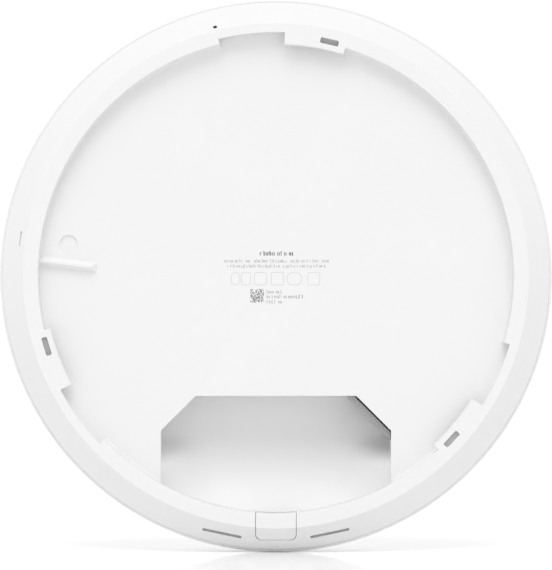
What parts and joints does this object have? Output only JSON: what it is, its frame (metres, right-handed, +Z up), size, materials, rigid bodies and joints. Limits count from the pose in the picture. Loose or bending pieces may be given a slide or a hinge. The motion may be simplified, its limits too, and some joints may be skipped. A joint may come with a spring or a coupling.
{
  "type": "ceiling access point",
  "caption": "Round dome-shaped ceiling access point with a twist-lock recess, cable pocket with a network port and removable cable cover at its rear.",
  "frame": {"origin": "centre of the flat rear rim, which is also the centre of the twist-lock bracket seat", "axes": "-Y out of the rear towards the ceiling bracket, +Y along the dome's axis towards the room, +Z up when hung on a wall, with the cable exit at the bottom, +X to the right seen from the rear; turned -90 degrees about X the rear rim faces up, as on a ceiling"},
  "size_m": [0.206, 0.046, 0.206],
  "materials": {
    "housing_white": "fine satin texture",
    "dome_white": "smooth satin",
    "cover_white": "fine satin texture",
    "disc_white": "smooth satin",
    "ring_clear": "frosted, translucent",
    "bezel_grey": "dull pressed metal",
    "jack_black": "moulded",
    "jack_steel": "tinned steel",
    "contact_gold": "gold flashed",
    "board_green": "solder mask",
    "light_board_white": "white solder mask",
    "sink_aluminium": "die-cast",
    "pad_grey": "soft",
    "chip_black": "moulded epoxy",
    "shield_steel": "tinned steel",
    "antenna_steel": "plated steel",
    "can_aluminium": "bright can",
    "ferrite_grey": "ferrite",
    "ceramic_white": "fired ceramic",
    "fan_black": "moulded",
    "winding_copper": "enamelled copper wire",
    "bearing_bronze": "sintered bronze",
    "bright_steel": "ground steel",
    "screw_steel": "zinc plated",
    "lead_black": "flexible jacket",
    "connector_cream": "moulded nylon",
    "lamp_white": "lamp resin",
    "button_white": "moulded"
  },
  "bodies": {
    "housing": {"amplifier_chips": "chip_black", "antenna_2g_left": "antenna_steel", "antenna_2g_right": "antenna_steel", "antenna_5g_left": "antenna_steel", "antenna_5g_right": "antenna_steel", "antenna_6g_left": "antenna_steel", "antenna_6g_right": "antenna_steel", "antenna_lead_left": "lead_black", "antenna_lead_right": "lead_black", "antenna_sockets": "contact_gold", "bluetooth_antenna": "ceramic_white", "board_screws": "screw_steel", "clock_crystal": "can_aluminium", "ethernet_chip": "chip_black", "ethernet_contacts": "contact_gold", "ethernet_jack_body": "jack_black", "ethernet_jack_shell": "jack_steel", "fan_bearing": "bearing_bronze", "fan_case": "fan_black", "fan_cover": "fan_black", "fan_lead": "lead_black", "fan_screws": "screw_steel", "fan_socket": "connector_cream", "fan_stator": "winding_copper", "flash_chip": "chip_black", "front_disc": "disc_white", "front_dome": "dome_white", "heat_sink": "sink_aluminium", "led_board": "light_board_white", "led_connectors": "connector_cream", "led_lead": "lead_black", "led_screws": "screw_steel", "leds": "lamp_white", "light_ring": "ring_clear", "main_board": "board_green", "memory_chips": "chip_black", "network_transformer": "chip_black", "port_bezel": "bezel_grey", "power_capacitors": "can_aluminium", "power_inductors": "ferrite_grey", "power_transformer": "ferrite_grey", "processor": "chip_black", "radio_chips": "chip_black", "rear_housing": "housing_white", "reset_spring": "bright_steel", "reset_switch": "chip_black", "shield_2g": "shield_steel", "shield_5g": "shield_steel", "shield_6g": "shield_steel", "shield_processor": "shield_steel", "thermal_pads": "pad_grey"},
    "cable_cover": {"cable_cover": "cover_white"},
    "reset_button": {"reset_button": "button_white"},
    "fan_rotor": {"fan_rotor": "fan_black", "fan_magnet": "ferrite_grey", "fan_shaft": "bright_steel"}
  },
  "joints": [
    {"name": "cable_cover_release", "type": "slide", "parent": "housing", "child": "cable_cover", "axis": [0, -1, 0], "range_m": [0, 0.014]},
    {"name": "reset_press", "type": "slide", "parent": "housing", "child": "reset_button", "axis": [0, 1, 0], "range_m": [0, 0.0006], "stiffness_N_per_m": 200, "springref_m": -0.002, "deforming": ["reset_spring"]},
    {"name": "fan_spin", "type": "hinge", "parent": "housing", "child": "fan_rotor", "pos_m": [-0.038, 0.0136, 0.008], "axis": [0, 1, 0], "continuous": true}
  ]
}
